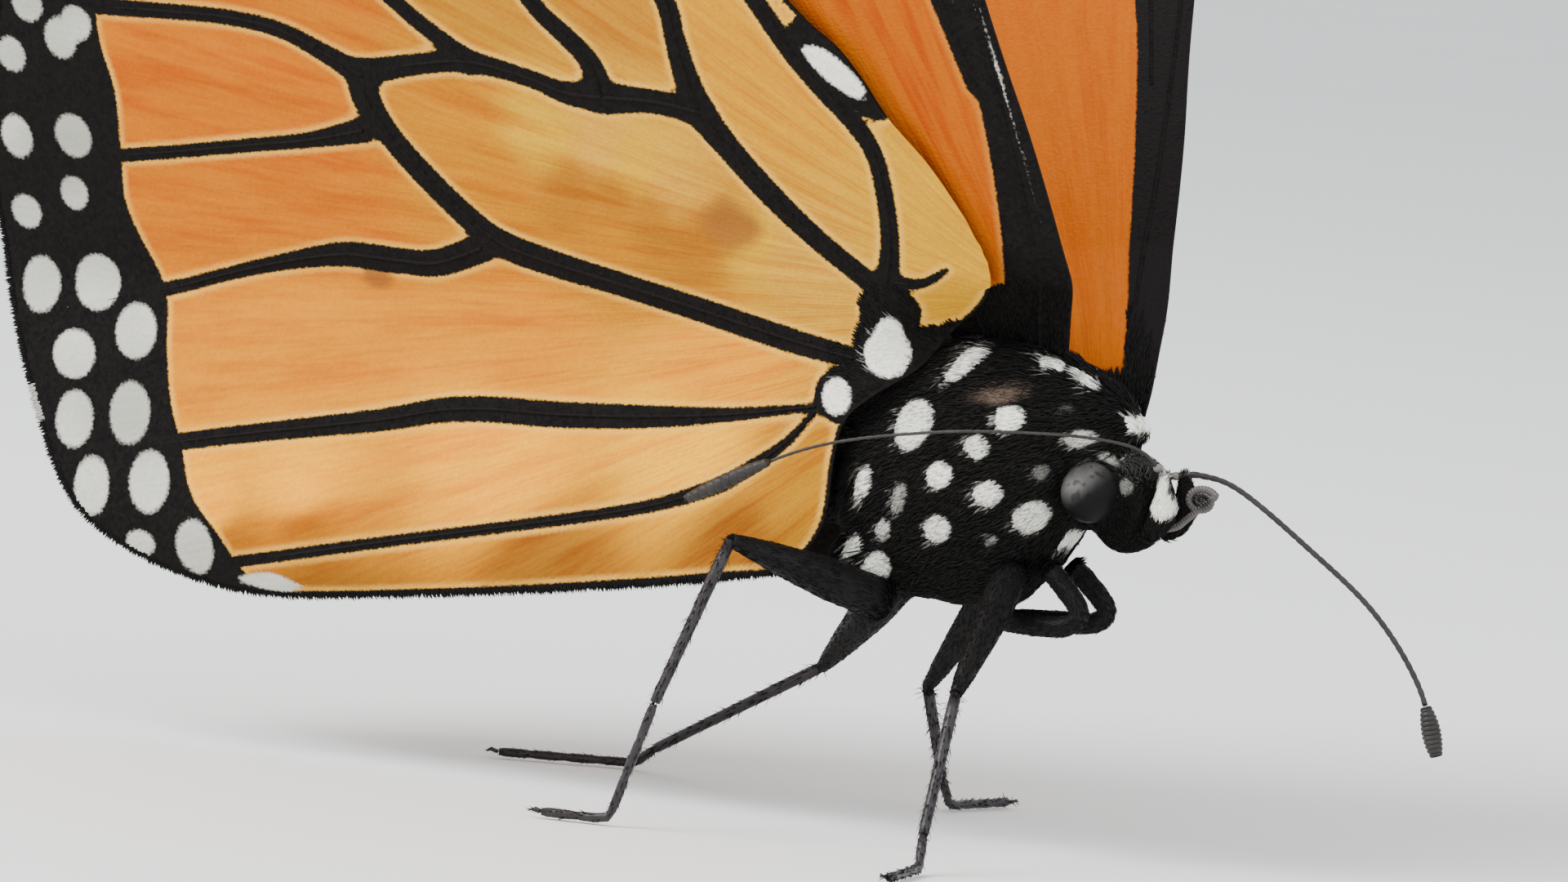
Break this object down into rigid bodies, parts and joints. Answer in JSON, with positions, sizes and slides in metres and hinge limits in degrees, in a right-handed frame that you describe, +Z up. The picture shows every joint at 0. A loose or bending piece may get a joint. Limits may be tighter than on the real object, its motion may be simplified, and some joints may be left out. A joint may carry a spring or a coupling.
{
  "type": "monarch butterfly",
  "caption": "Life-size male monarch butterfly standing with wings raised in a V, black body with white spots, orange wings with black veins.",
  "frame": {"origin": "on the floor, below the middle of the model's footprint", "axes": "+X from tail to head, +Y to the animal's left, +Z up along the raised wings"},
  "size_m": [0.055, 0.0472, 0.0613],
  "materials": {
    "cuticle_black": "velvety black scales",
    "limb_black": "satin black cuticle",
    "eye_black": "glossy, finely faceted",
    "tongue_brown": "satin",
    "hindwing_tan": "matte scales",
    "forewing_orange": "matte scales"
  },
  "bodies": {
    "root": {"head": "cuticle_black", "thorax": "cuticle_black", "abdomen": "cuticle_black", "palp_left": "cuticle_black", "palp_right": "cuticle_black", "eye_left": "eye_black", "eye_right": "eye_black", "proboscis": "tongue_brown", "antenna_left": "limb_black", "antenna_right": "limb_black", "antenna_club_left": "limb_black", "antenna_club_right": "limb_black", "foreleg_left": "limb_black", "foreleg_right": "limb_black", "leg_hind_right_femur": "limb_black", "leg_hind_right_tibia": "limb_black", "leg_hind_right_tarsus": "limb_black", "leg_middle_right_femur": "limb_black", "leg_middle_right_tibia": "limb_black", "leg_middle_right_tarsus": "limb_black", "leg_middle_left_femur": "limb_black", "leg_middle_left_tibia": "limb_black", "leg_middle_left_tarsus": "limb_black", "leg_hind_left_femur": "limb_black", "leg_hind_left_tibia": "limb_black", "leg_hind_left_tarsus": "limb_black", "hindwing_left": "hindwing_tan", "hindwing_right": "hindwing_tan", "forewing_left": "forewing_orange", "forewing_right": "forewing_orange"}
  },
  "joints": []
}
